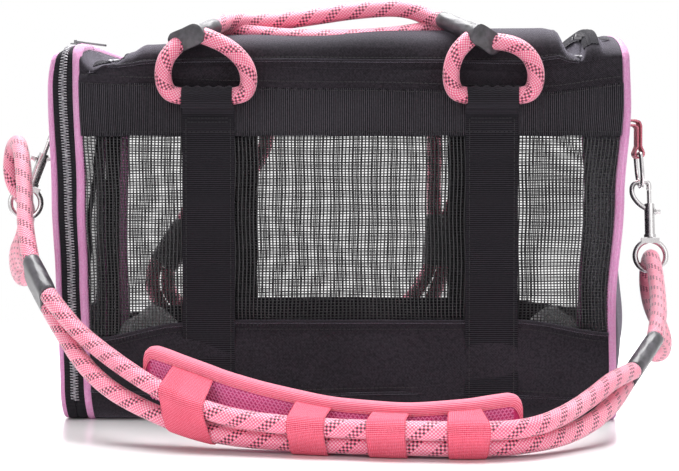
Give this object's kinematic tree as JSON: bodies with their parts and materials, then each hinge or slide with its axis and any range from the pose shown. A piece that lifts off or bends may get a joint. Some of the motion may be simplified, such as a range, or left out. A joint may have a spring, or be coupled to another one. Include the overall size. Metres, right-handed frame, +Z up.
{
  "type": "pet carrier bag",
  "caption": "Soft-sided pet carrier with mesh windows, a zipped end door, a zipped top flap, two rope handles and a padded rope shoulder strap on swivel snap hooks",
  "frame": {"origin": "middle of the underside, on the surface the bag stands on", "axes": "+Z up, X along the bag with the end door at -X, the front with the visible handle at -Y"},
  "size_m": [0.5534, 0.5096, 0.3248],
  "materials": {
    "black_cloth": "woven padded cloth",
    "ribbed_webbing": "ribbed band",
    "black_mesh": "open mesh",
    "black_webbing": "woven tape",
    "grey_fleece": "fleece",
    "orchid_piping": "corded piping",
    "pink_rope": "braided rope with dark flecks",
    "shrink_sleeve": "shrink sleeve",
    "orchid_air_mesh": "spacer mesh",
    "salmon_elastic": "ribbed elastic",
    "coral_webbing": "webbing",
    "nickel": "satin nickel",
    "zip_plastic": "coil zip",
    "base_board": "stiffener board"
  },
  "bodies": {
    "carrier": {"bottom_panel": "black_cloth", "base_board": "base_board", "fleece_pad": "grey_fleece", "front_lower_panel": "black_cloth", "rear_lower_panel": "black_cloth", "front_mesh": "black_mesh", "rear_mesh": "black_mesh", "front_ribbed_band": "ribbed_webbing", "rear_ribbed_band": "ribbed_webbing", "front_shoulder": "black_cloth", "rear_shoulder": "black_cloth", "front_strap_left": "ribbed_webbing", "front_strap_right": "ribbed_webbing", "rear_strap_left": "ribbed_webbing", "rear_strap_right": "ribbed_webbing", "top_end_strip_left": "black_cloth", "top_end_strip_right": "black_cloth", "right_end_panel": "black_cloth", "right_piping": "orchid_piping", "left_piping": "orchid_piping", "safety_tether": "black_webbing", "door_zip_tape_inner": "black_webbing", "door_zip_coil_inner": "zip_plastic", "top_zip_coil_fixed": "zip_plastic", "ring_tab_right": "coral_webbing", "end_ring_right": "nickel", "swivel_eye_right": "nickel", "strap_loop_right": "pink_rope", "strap_sleeve_right": "shrink_sleeve", "strap_strand_upper": "pink_rope", "strap_strand_lower": "pink_rope", "strap_pad": "orchid_air_mesh", "pad_binding": "salmon_elastic", "elastic_bands": "salmon_elastic"},
    "end_door": {"door_panel": "black_cloth", "door_mesh": "black_mesh", "door_piping": "orchid_piping", "door_zip_tape_outer": "black_webbing", "door_zip_coil_outer": "zip_plastic", "ring_tab_left": "coral_webbing", "end_ring_left": "nickel", "swivel_eye_left": "nickel", "strap_loop_left": "pink_rope", "strap_sleeve_left": "shrink_sleeve"},
    "top_flap": {"top_flap_panel": "black_cloth", "top_zip_coil_flap": "zip_plastic"},
    "front_handle": {"front_handle_rope": "pink_rope", "front_handle_sleeves": "shrink_sleeve"},
    "rear_handle": {"rear_handle_rope": "pink_rope", "rear_handle_sleeves": "shrink_sleeve"},
    "door_slider": {"door_zip_slider": "nickel"},
    "door_pull": {"door_zip_pull": "nickel"},
    "top_slider": {"top_zip_slider": "nickel"},
    "top_pull": {"top_zip_pull": "nickel"},
    "right_hook": {"snap_hook_right": "nickel"},
    "right_bolt": {"hook_bolt_right": "nickel"},
    "left_hook": {"snap_hook_left": "nickel"},
    "left_bolt": {"hook_bolt_left": "nickel"}
  },
  "joints": [
    {"name": "end_door_hinge", "type": "hinge", "parent": "carrier", "child": "end_door", "pos_m": [-0.2291, 0, 0.00325], "axis": [0, -1, 0], "range_deg": [0, 60]},
    {"name": "top_flap_hinge", "type": "hinge", "parent": "carrier", "child": "top_flap", "pos_m": [0, -0.14, 0.27], "axis": [1, 0, 0], "range_deg": [0, 110]},
    {"name": "front_handle_hinge", "type": "hinge", "parent": "carrier", "child": "front_handle", "pos_m": [0, -0.1505, 0.245], "axis": [1, 0, 0], "range_deg": [0, 110]},
    {"name": "rear_handle_hinge", "type": "hinge", "parent": "carrier", "child": "rear_handle", "pos_m": [0, 0.1505, 0.245], "axis": [1, 0, 0], "range_deg": [0, 170]},
    {"name": "door_slider_travel", "type": "slide", "parent": "carrier", "child": "door_slider", "axis": [0, 1, 0], "range_m": [-0.035, 0.185]},
    {"name": "door_pull_hinge", "type": "hinge", "parent": "door_slider", "child": "door_pull", "pos_m": [-0.21955, -0.075, 0.295], "axis": [0, -1, 0], "range_deg": [0, 150]},
    {"name": "top_slider_travel", "type": "slide", "parent": "top_flap", "child": "top_slider", "axis": [0, 1, 0], "range_m": [0, 0.215]},
    {"name": "top_pull_hinge", "type": "hinge", "parent": "top_slider", "child": "top_pull", "pos_m": [0.1762, -0.112, 0.2965], "axis": [0, -1, 0], "range_deg": [0, 150]},
    {"name": "right_hook_swivel", "type": "hinge", "parent": "carrier", "child": "right_hook", "pos_m": [0.25, -0.001, 0.1647], "axis": [0, 0.1701, 0.9854], "range_deg": [-6, 20]},
    {"name": "right_bolt_travel", "type": "slide", "parent": "right_hook", "child": "right_bolt", "axis": [0, -0.1701, -0.9854], "range_m": [0, 0.008], "stiffness_N_per_m": 200, "springref_m": -0.002},
    {"name": "left_hook_swivel", "type": "hinge", "parent": "end_door", "child": "left_hook", "pos_m": [-0.258, -0.005, 0.2067], "axis": [0.3499, 0.06, 0.9348], "range_deg": [-6, 20]},
    {"name": "left_bolt_travel", "type": "slide", "parent": "left_hook", "child": "left_bolt", "axis": [-0.3499, -0.06, -0.9348], "range_m": [0, 0.008], "stiffness_N_per_m": 200, "springref_m": -0.002}
  ],
  "couplings": [
    {"joint": "front_handle_hinge", "follows": "top_flap_hinge", "ratio": 1}
  ]
}
